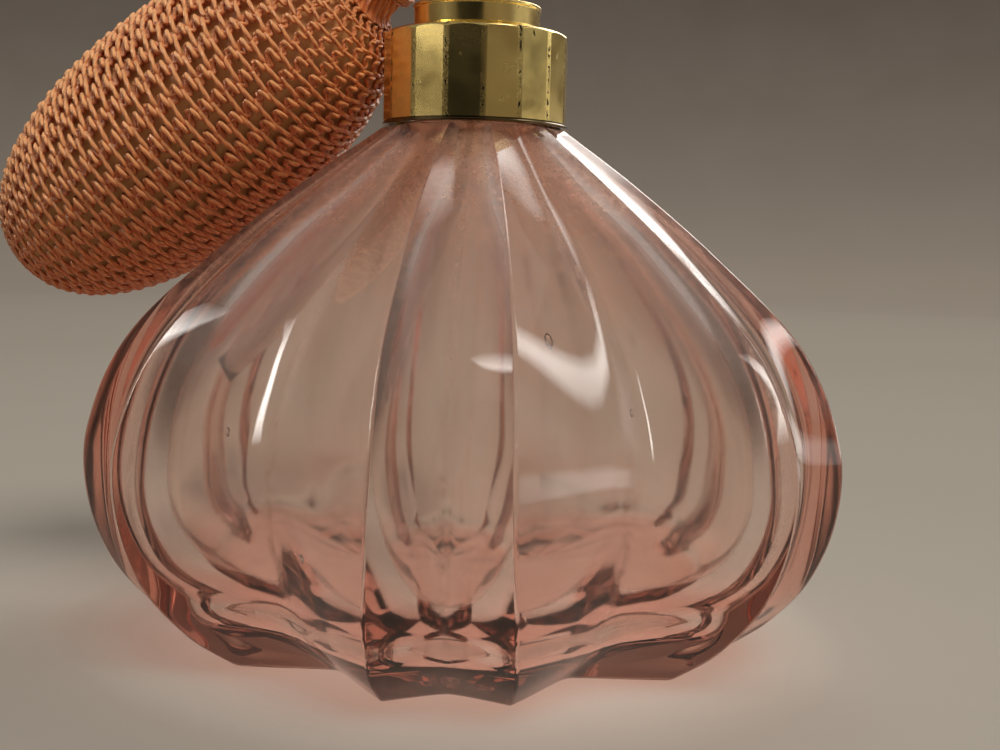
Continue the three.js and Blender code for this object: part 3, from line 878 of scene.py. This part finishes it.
def make_air_tube():
    """Tube with a barb at its end for the rubber neck, and the ring that seats it."""
    stem = turned_ring("air_tube", [
        (1.0, 3), (STEM_R, 3), (STEM_R, STEM_END - 1.6), (STEM_R + 0.2, STEM_END - 1.3),
        (STEM_R - 0.1, STEM_END), (1.0, STEM_END)], BRASS, BULB_LINE)
    on_head(stem, "bulb_stem")
    nut = turned_ring("air_tube_nut", [
        (1.8, 7.7), (2.7, 7.7), (2.9, 8), (2.9, 8.7), (2.5, 9.2), (1.8, 9.2)], BRASS, BULB_LINE)
    on_head(nut, "stem_nut")


make_flange()
make_turret()
make_finial()
make_nozzle()
make_air_tube()


# ---------------------------------------------------------------- siphon tube
def tube_along(name, path, outer, inner, material, sides=28):
    """A hollow tube with open, rounded ends along a smooth path of points in metres."""
    steps = len(path)
    ring_rows = []
    ahead = (path[1] - path[0]).normalized()
    across = ahead.orthogonal().normalized()
    for i, point in enumerate(path):
        before = path[max(i - 1, 0)]
        after = path[min(i + 1, steps - 1)]
        direction = (after - before).normalized()
        across = (across - direction * across.dot(direction)).normalized()
        other = direction.cross(across)
        ring_rows.append((point, across.copy(), other))
    order = [(row, outer) for row in ring_rows] + [(row, inner) for row in reversed(ring_rows)]
    points = []
    for (point, across, other), radius in order:
        for j in range(sides):
            a = 2 * math.pi * j / sides
            points.append(point + (across * math.cos(a) + other * math.sin(a)) * radius)
    return make_object(name, points, grid_faces(len(order), sides, close_rows=True), [material])


def bezier(a, b, c, d, steps):
    """Points of a cubic curve, without its last one."""
    result = []
    for k in range(steps):
        t = k / steps
        result.append(a * (1 - t) ** 3 + b * 3 * t * (1 - t) ** 2 + c * 3 * t * t * (1 - t) + d * t**3)
    return result


def make_siphon():
    """Straight down out of the head, then bent aside to reach the low edge of the hollow."""
    aim = math.radians(-68)
    bend_top = 59
    bend_end = (8.6, 47.83)
    mouth = (31, 31.46)

    def at(r, z):
        return Vector((r * math.sin(aim), -r * math.cos(aim), z)) * MM

    straight = [at(0, 66.3).lerp(at(0, bend_top), k / 6) for k in range(6)]
    bend = bezier(at(0, bend_top), at(0, 53.5), at(4.4, 50.9), at(*bend_end), 24)
    slope = [at(*bend_end).lerp(at(*mouth), k / 16) for k in range(17)]
    tube = tube_along("siphon", straight + bend + slope, 1.85 * MM, 1.45 * MM, CLEAR)
    on_head(tube, "siphon_tube", slot="clear_plastic", body="seal")


make_siphon()


# ---------------------------------------------------------------- bulb, net and tie
NET_THICK = 0.9
RUBBER_THICK = 2.2
RUBBER_NECK_R = 2.6
RUBBER_NECK_BORE = 1.9
RUBBER_TAIL_BORE = 2.55
CHAINS = 28           # chains of hooks side by side round the bulb
STITCHES = 33         # along each chain
STITCH_POINTS = 14    # rings of thread in a stitch
THREAD_R = 0.32
THREAD_SIDES = 6


def bulb_profile(inset, angle):
    """Radius and distance along the bulb line, the angle running from the neck end to the tail."""
    along = math.cos(angle)
    radius = (BULB_R - inset) * math.sqrt(max(1 - along * along, 0)) ** BULB_BLUNT
    return radius, BULB_MIDDLE - (BULB_HALF - inset) * along


def make_rubber():
    """Hollow rubber bulb, open at the neck and round the intake valve."""
    inset = NET_THICK + 0.4
    last = 60
    outer = []
    inner = []
    for k in range(last + 1):
        angle = math.pi * k / last
        radius, s = bulb_profile(inset, angle)
        outer.append((max(radius, RUBBER_NECK_R), s))
        radius, s = bulb_profile(inset + RUBBER_THICK, angle)
        opening = RUBBER_NECK_BORE if k < last / 2 else RUBBER_TAIL_BORE
        inner.append((max(radius, opening), s))
    bulb = turned_ring("inner_bulb", outer + inner[::-1], BULB_RUBBER, BULB_LINE, corner=0.01)
    on_head(bulb, "rubber_bulb", slot="bulb_rubber", body="bulb")
    return bulb


NET_START = 4.4       # along the skin, where the knitting leaves the gathered ends
NET_STOP = 5.0
SKIN_SAMPLES = 900


def net_skin():
    """Samples along the middle of the net: length, profile angle, radius, distance and outward lean."""
    angles = np.linspace(0, math.pi, SKIN_SAMPLES + 1)
    line = np.array([bulb_profile(NET_THICK / 2, angle) for angle in angles])
    steps = np.linalg.norm(np.diff(line, axis=0), axis=1)
    length = np.concatenate([[0], np.cumsum(steps)])
    slope = np.gradient(line, axis=0)
    slope /= np.linalg.norm(slope, axis=1, keepdims=True)
    return length, angles, line, slope


SKIN_LENGTH, SKIN_ANGLES, SKIN_LINE, SKIN_SLOPE = net_skin()


def net_end_angles():
    """Profile angles where the knitting starts and stops."""
    return np.interp([NET_START, SKIN_LENGTH[-1] - NET_STOP], SKIN_LENGTH, SKIN_ANGLES)


def skin_at(along):
    """Radius, distance and slope of the skin at lengths along it."""
    along = np.clip(along, 0.2, SKIN_LENGTH[-1] - 0.2)
    radius, distance, slope_r, slope_s = [
        np.interp(along, SKIN_LENGTH, values) for values in (*SKIN_LINE.T, *SKIN_SLOPE.T)]
    return radius, distance, slope_r, slope_s


def lay_thread(along, sideways, lift, middle, thickness):
    """A round thread over the skin; sideways and lift are millimetres, middle is an angle round it.
    Gives its points, how proud each stands of the net and how far along the thread each ring is."""
    radius, distance, slope_r, slope_s = skin_at(along)
    bend = middle + sideways / radius
    r = radius + lift * slope_s
    centre = np.stack([r * np.cos(bend), r * np.sin(bend), distance - lift * slope_r], 1)
    direction = np.gradient(centre, axis=0)
    direction /= np.linalg.norm(direction, axis=1, keepdims=True)
    outward = np.stack([np.cos(bend) * slope_s, np.sin(bend) * slope_s, -slope_r], 1)
    side = np.cross(direction, outward)
    side /= np.linalg.norm(side, axis=1, keepdims=True)
    outward = np.cross(side, direction)
    ring = np.arange(THREAD_SIDES) * 2 * math.pi / THREAD_SIDES
    cross = np.cos(ring)[None, :, None] * side[:, None, :] + np.sin(ring)[None, :, None] * outward[:, None, :]
    points = (centre[:, None, :] + cross * thickness[:, None, None]).reshape(-1, 3)
    # How proud the thread stands, plus how far its side faces out; this drives the net's painted light and
    # shade.
    proud = lift[:, None] / 0.42 + 0.6 * np.sin(ring)[None, :]
    steps = np.linalg.norm(np.diff(centre, axis=0), axis=1)
    travelled = np.concatenate([[0], np.cumsum(steps)]) / (2 * THREAD_R)
    return points, proud.ravel(), travelled


def thread_faces(count):
    """Quads between the rings of one thread."""
    i = np.arange(count - 1)[:, None]
    j = np.arange(THREAD_SIDES)[None, :]
    a = i * THREAD_SIDES + j
    b = i * THREAD_SIDES + (j + 1) % THREAD_SIDES
    return np.stack([a, a + THREAD_SIDES, b + THREAD_SIDES, b], -1).reshape(-1, 4)


def thread_uvs(travelled):
    """Thread widths travelled, and the share of the way round it, at the corners of each quad."""
    u = travelled[:-1][:, None]
    v = travelled[1:][:, None]
    j = np.arange(THREAD_SIDES)[None, :]
    corners = [(u, j), (v, j), (v, j + 1), (u, j + 1)]
    quads = [np.stack(np.broadcast_arrays(x, y / THREAD_SIDES), -1) for x, y in corners]
    return np.stack(quads, 2).reshape(-1, 2)


def stitch_cycle():
    """How a strand goes through its stitches. The first half of a stitch crosses over in an arch and the
    second half runs on; there a hook swings back to where it came from and a rung stays across."""
    stitch, step = np.divmod(np.arange(STITCHES * STITCH_POINTS + 1), STITCH_POINTS)
    phase = step / STITCH_POINTS
    crossing = phase < 0.5
    across = -np.cos(2 * math.pi * phase)
    return {
        "stitch": stitch,
        "crossing": crossing,
        "stay": np.where(crossing, across, 1.0),
        "swing": np.where(crossing, across, np.cos(2 * math.pi * (phase - 0.5))),
        "arch": np.where(crossing, np.sin(2 * math.pi * phase), 0.0),
        "advance": np.where(crossing, 0.3 * phase, 0.15 + 1.7 * (phase - 0.5))}


# How far into the stitch each kind of strand starts.
STRANDS = {"rung": 0.0, "hook": 0.34, "core": 0.7}


def lay_strand(kind, column, cycle, loose):
    """One strand from neck to tail; loose holds random slackness along and across for every point."""
    stitch, crossing, arch = cycle["stitch"], cycle["crossing"], cycle["arch"]
    pitch = (SKIN_LENGTH[-1] - NET_START - NET_STOP) / STITCHES
    along = NET_START + pitch * (stitch + cycle["advance"] + STRANDS[kind] + 0.05 * loose[0])
    gap = 2 * math.pi * skin_at(along)[0] / CHAINS
    fullness = np.clip(gap / 3.6, 0.3, 1)
    half = 0.5 * (kind != "rung")
    middle = 2 * math.pi * (column + half) / CHAINS
    if kind == "rung":
        direction = np.where((stitch + column) % 2 == 0, 1, -1)
        sideways = direction * cycle["stay"] * 0.5 * gap * (1 + 0.05 * loose[1])
        lift = np.where(crossing, 0.26 * arch, -0.10) * fullness
    elif kind == "hook":
        sideways = cycle["swing"] * (0.29 * gap * fullness + 0.12) * (1 + 0.14 * loose[1])
        lift = np.where(crossing, 0.12 + 0.32 * arch, -0.14) * fullness
    else:
        sideways = -cycle["swing"] * (0.26 * gap * fullness + 0.12) * (1 + 0.14 * loose[1])
        lift = (-0.04 - 0.16 * arch) * fullness
    thickness = THREAD_R * np.clip(0.45 + 0.55 * gap / 3.2, 0.45, 1)
    return lay_thread(along, sideways, lift, middle, thickness)


def make_net():
    """Knitted net: chains of hooks over cores run from neck to tail, and rungs of thread cross between."""
    cycle = stitch_cycle()
    rng = np.random.default_rng(7)
    all_points = []
    all_proud = []
    all_faces = []
    all_uvs = []
    placed = 0
    for column in range(CHAINS):
        for kind in STRANDS:
            loose = rng.normal(0, 1, (2, STITCHES + 1))[:, cycle["stitch"]]
            points, proud, travelled = lay_strand(kind, column, cycle, loose)
            all_points.append(points)
            all_proud.append(proud)
            all_faces.append(thread_faces(len(travelled)) + placed)
            all_uvs.append(thread_uvs(travelled))
            placed += len(points)
    points = np.concatenate(all_points) * MM
    turned = points @ np.array(BULB_LINE.to_3x3()).T + np.array(BULB_LINE.translation)
    net = make_object("knitted_net", turned.tolist(), np.concatenate(all_faces).tolist(), [NET_YARN])
    layer = net.data.uv_layers.new(name="thread")
    layer.data.foreach_set("uv", np.concatenate(all_uvs).ravel().astype(np.float32))
    height = net.data.attributes.new("proud", "FLOAT", "POINT")
    height.data.foreach_set("value", np.concatenate(all_proud).astype(np.float32))
    on_head(net, "net_cover", slot="yarn", body="bulb")
    return net


def add_thread_uv(obj, along, around):
    """Thread direction for a turned piece: along its height and round its side."""
    layer = obj.data.uv_layers.new(name="thread")
    back = BULB_LINE.inverted()
    for loop in obj.data.loops:
        p = back @ obj.data.vertices[loop.vertex_index].co
        layer.data[loop.index].uv = (p.z / MM * along, math.atan2(p.y, p.x) / (2 * math.pi) * around)


def pleated(name, stations, folds, depth, sides=192):
    """Net gathered into soft pleats along the bulb line; stations are (radius, distance)."""
    rows = rounded_path(stations)
    thick = 0.5
    points = []
    skins = [(rows, 0), (rows[::-1], -thick)]
    count = 0
    for skin, shift in skins:
        for radius, s in skin:
            count += 1
            for j in range(sides):
                a = 2 * math.pi * j / sides
                wave = depth * min(1, radius / 5) * math.sin(folds * a + 0.5 * math.sin(3 * a) + 0.15 * s)
                r = radius + shift + wave
                points.append(BULB_LINE @ (Vector((r * math.cos(a), r * math.sin(a), s)) * MM))
    obj = make_object(name, points, grid_faces(count, sides, close_rows=True), [YARN])
    add_thread_uv(obj, 1.4, folds)
    return obj


def rounded_path(stations, steps=6):
    """Smooth open path through the stations."""
    path = []
    count = len(stations)
    for i in range(count - 1):
        p = [Vector(stations[min(max(i + k, 0), count - 1)]) for k in (-1, 0, 1, 2)]
        for k in range(steps):
            t = k / steps
            path.append(0.5 * (
                2 * p[1] + (p[2] - p[0]) * t + (2 * p[0] - 5 * p[1] + 4 * p[2] - p[3]) * t * t
                + (3 * p[1] - p[0] - 3 * p[2] + p[3]) * t**3))
    path.append(Vector(stations[-1]))
    return path


def make_gathers():
    """The net drawn together at both ends of the bulb: over the rubber neck and round the valve."""
    neck_angle, tail_angle = net_end_angles()
    radius, s = bulb_profile(0.2, neck_angle + 0.03)
    neck = pleated("net_gather", [
        (3.7, 11.3), (3.5, 12.2), (3.2, 13.0), (3.2, 14.4), (3.5, 15.2),
        (radius * 0.8, s - 0.7), (radius, s)], 17, 0.2)
    radius, s = bulb_profile(0.3, tail_angle - 0.02)
    tail = pleated("net_tail", [
        (radius, s), (radius * 0.75, (s + BULB_TAIL) / 2 + 0.2),
        (3.0, BULB_TAIL - 0.5), (2.2, BULB_TAIL - 0.8)], 15, 0.16)
    return neck, tail


def make_rubber_neck():
    """Sleeve of the bulb that is pushed over the end of the air tube."""
    bore, start, end = 1.85, 10.4, 17.4
    outline = [(bore, start), (RUBBER_NECK_R, start), (RUBBER_NECK_R, end), (bore, end)]
    neck = turned_ring("bulb_neck", outline, BULB_RUBBER, BULB_LINE, sides=48)
    return neck


def make_tie():
    """Three turns of thread wound tight round the gathered net."""
    turns = 3
    per_turn = 48
    radius = 4.0
    strand = 0.26
    sides = 10
    points = []
    total = turns * per_turn
    for i in range(total + 1):
        a = 2 * math.pi * i / per_turn
        s = 13.15 + 0.42 * (i / per_turn)
        out = Vector((math.cos(a), math.sin(a), 0))
        for j in range(sides):
            b = 2 * math.pi * j / sides
            p = out * (radius + strand * math.cos(b)) + Vector((0, 0, s + strand * math.sin(b)))
            points.append(BULB_LINE @ (p * MM))
    faces = grid_faces(total + 1, sides)
    faces.append(tuple(range(sides)))
    faces.append(tuple(total * sides + j for j in reversed(range(sides))))
    tie = make_object("tie_thread", points, faces, [YARN])
    layer = tie.data.uv_layers.new(name="thread")
    step = 2 * math.pi * radius / per_turn / (2 * strand)
    for loop in tie.data.loops:
        i, j = divmod(loop.vertex_index, sides)
        layer.data[loop.index].uv = (i * step, j / sides)
    on_head(tie, "net_tie", slot="yarn")


rubber = make_rubber()
net = make_net()
gathers = make_gathers()
rubber_neck = make_rubber_neck()
make_tie()


# ---------------------------------------------------------------- carried-over nodes
CARRIED = {
    "thread_liner": DULL_BRASS, "retaining_nut": DULL_BRASS, "neck_gasket": SEAL_RUBBER, "spray_jet": STEEL,
    "intake_valve": BRASS, "valve_cage": BRASS, "valve_ball": STEEL}
for node_name, material in CARRIED.items():
    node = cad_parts[node_name]
    for slot in node.material_slots:
        slot.material = material


# ---------------------------------------------------------------- meshes of the soft pieces
def tie_soft_pieces():
    """Bakes the placement into the neck gather, the rubber neck and the net's tail, and gives the net and the
    bulb meshes of their own.
    """
    for piece in (gathers[0], rubber_neck):
        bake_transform(piece)
    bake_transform(gathers[1])
    for piece in (net, rubber):
        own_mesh(piece)


tie_soft_pieces()


# ---------------------------------------------------------------- floor, backdrop and lights
def make_stage():
    """A pale floor that curves up into a backdrop all round. Its tone is painted: a bright pool of painted
    light under the foot of the bottle, then painted shade that darkens it further out and up the backdrop.
    """
    flat_reach = 0.9
    curve = 0.5
    rows = []
    for k in range(12):
        rows.append((flat_reach * (k / 11) ** 1.5, 0.0))
    for k in range(1, 13):
        a = k / 12 * math.pi / 2
        rows.append((flat_reach + curve * math.sin(a), curve * (1 - math.cos(a))))
    rows.append((flat_reach + curve, 1.1))
    sides = 96
    points = []
    for radius, height in rows:
        for j in range(sides):
            a = 2 * math.pi * j / sides
            points.append((radius * math.cos(a), radius * math.sin(a), height - 0.0002))
    material, tree, shader = new_material("backdrop")
    place = position(tree)
    flat = add(tree, "ShaderNodeVectorMath", operation="MULTIPLY")
    flat.inputs[1].default_value = (1, 1, 0)
    link(tree, place, flat.inputs[0])
    reach = add(tree, "ShaderNodeVectorMath", operation="LENGTH")
    link(tree, flat.outputs[0], reach.inputs[0])
    travelled = math_node(tree, "ADD", reach.outputs["Value"], components(tree, place)["Z"])
    # Painted light: pale within about 27 mm of the middle, under the bottle's foot. Painted shade: darker
    # from there out and up the backdrop.
    tone = ramp(tree, spread(tree, travelled, 0.0, 1.7), [
        (0.0, (0.66, 0.60, 0.54)), (0.016, (0.60, 0.54, 0.48)), (0.028, (0.38, 0.345, 0.30)),
        (0.07, (0.35, 0.32, 0.275)), (0.25, (0.32, 0.29, 0.245)), (0.5, (0.335, 0.295, 0.25)),
        (0.62, (0.31, 0.27, 0.225)), (0.8, (0.22, 0.19, 0.16)), (1.0, (0.135, 0.112, 0.095))])
    mottle = spread(tree, noise(tree, 14, 3, 0.5, place), 0.3, 0.7, 0, 0.05)
    link(tree, mix_colour(tree, mottle, tone, (0.4, 0.38, 0.36)), shader.inputs["Base Color"])
    shader.inputs["Roughness"].default_value = 0.9
    shader.inputs["Specular IOR Level"].default_value = 0.0
    floor = make_object("floor", points, grid_faces(len(rows), sides), [material])


def make_card(name, turns, lifts, brightness, soft=0.4, radius=0.45):
    """A curved reflector round the bottle, seen only in what the shiny surfaces mirror; its glow fades at
    the edges. Turns are azimuths from the front and lifts are heights above level, both in degrees."""
    material, tree, shader = new_material(name)
    across, up = 24, 16
    middle = 50 * MM
    points = []
    fades = []
    for i in range(up + 1):
        lift = math.radians(lifts[0] + (lifts[1] - lifts[0]) * i / up)
        for j in range(across + 1):
            turn = math.radians(turns[0] + (turns[1] - turns[0]) * j / across)
            flat = radius * math.cos(lift)
            points.append((flat * math.sin(turn), -flat * math.cos(turn), middle + radius * math.sin(lift)))
            fades.append(min(1.0, min(i / up, 1 - i / up, j / across, 1 - j / across) / soft))
    faces = []
    for i in range(up):
        for j in range(across):
            first = i * (across + 1) + j
            faces.append((first, first + 1, first + across + 2, first + across + 1))
    card = make_object(name, points, faces, [material])
    fade = card.data.attributes.new("fade", "FLOAT", "POINT")
    fade.data.foreach_set("value", fades)
    level = add(tree, "ShaderNodeAttribute", attribute_name="fade").outputs["Fac"]
    shader.inputs["Base Color"].default_value = (0.015, 0.015, 0.017, 1)
    shader.inputs["Roughness"].default_value = 0.9
    shader.inputs["Emission Color"].default_value = (1, 0.97, 0.92, 1)
    link(tree, spread(tree, level, 0.0, 1.0, 0.0, brightness), shader.inputs["Emission Strength"])
    card.visible_camera = False
    card.visible_diffuse = False
    card.visible_shadow = False
    card.visible_transmission = False


def make_light(name, azimuth, height, distance, width, tall, watts, colour=(1, 1, 1)):
    """A softbox aimed at the bottle, its azimuth from the front; the cards stand in for its mirror image."""
    data = bpy.data.lights.new(name, "AREA")
    data.shape = "RECTANGLE"
    data.size = width
    data.size_y = tall
    data.energy = watts
    data.color = colour
    light = bpy.data.objects.new(name, data)
    bpy.context.collection.objects.link(light)
    a = math.radians(azimuth)
    light.location = (distance * math.sin(a), -distance * math.cos(a), height)
    aim = Vector((0, 0, 35 * MM)) - light.location
    light.rotation_euler = aim.to_track_quat("-Z", "Y").to_euler()
    light.visible_glossy = False
    light.visible_transmission = False


def make_world():
    """Even, slightly warm light from all round."""
    world = bpy.data.worlds.new("studio")
    world.use_nodes = True
    world.node_tree.nodes["Background"].inputs[0].default_value = (1.0, 0.97, 0.92, 1)
    world.node_tree.nodes["Background"].inputs[1].default_value = 0.28
    bpy.context.scene.world = world


make_stage()
make_world()
make_card("dark_card", (-34, 14), (-8, 40), 0.0, radius=0.36)
make_card("left_low_card", (-66, -38), (-8, 6), 0.16, soft=0.1)
make_card("right_low_card", (66, 142), (-8, 6), 3.4, soft=0.45)
make_card("left_strip", (-67, -54), (13, 55), 26.0)
make_card("right_strip", (100, 113), (8, 58), 7.0)
make_card("right_panel", (58, 96), (8, 46), 1.0)
make_card("near_strip", (45, 48), (12, 46), 16.0, soft=0.3)
make_card("top_panel", (112, 158), (48, 80), 7.0)
make_card("rear_panel", (140, 172), (14, 48), 9.0)
make_light("key_softbox", 30, 1.5, 0.9, 0.9, 0.9, 20.0, (1, 0.96, 0.90))
make_light("back_softbox", 170, 1.2, 0.9, 0.9, 0.5, 7.0, (1, 0.97, 0.93))
bpy.context.scene.view_settings.view_transform = "Standard"
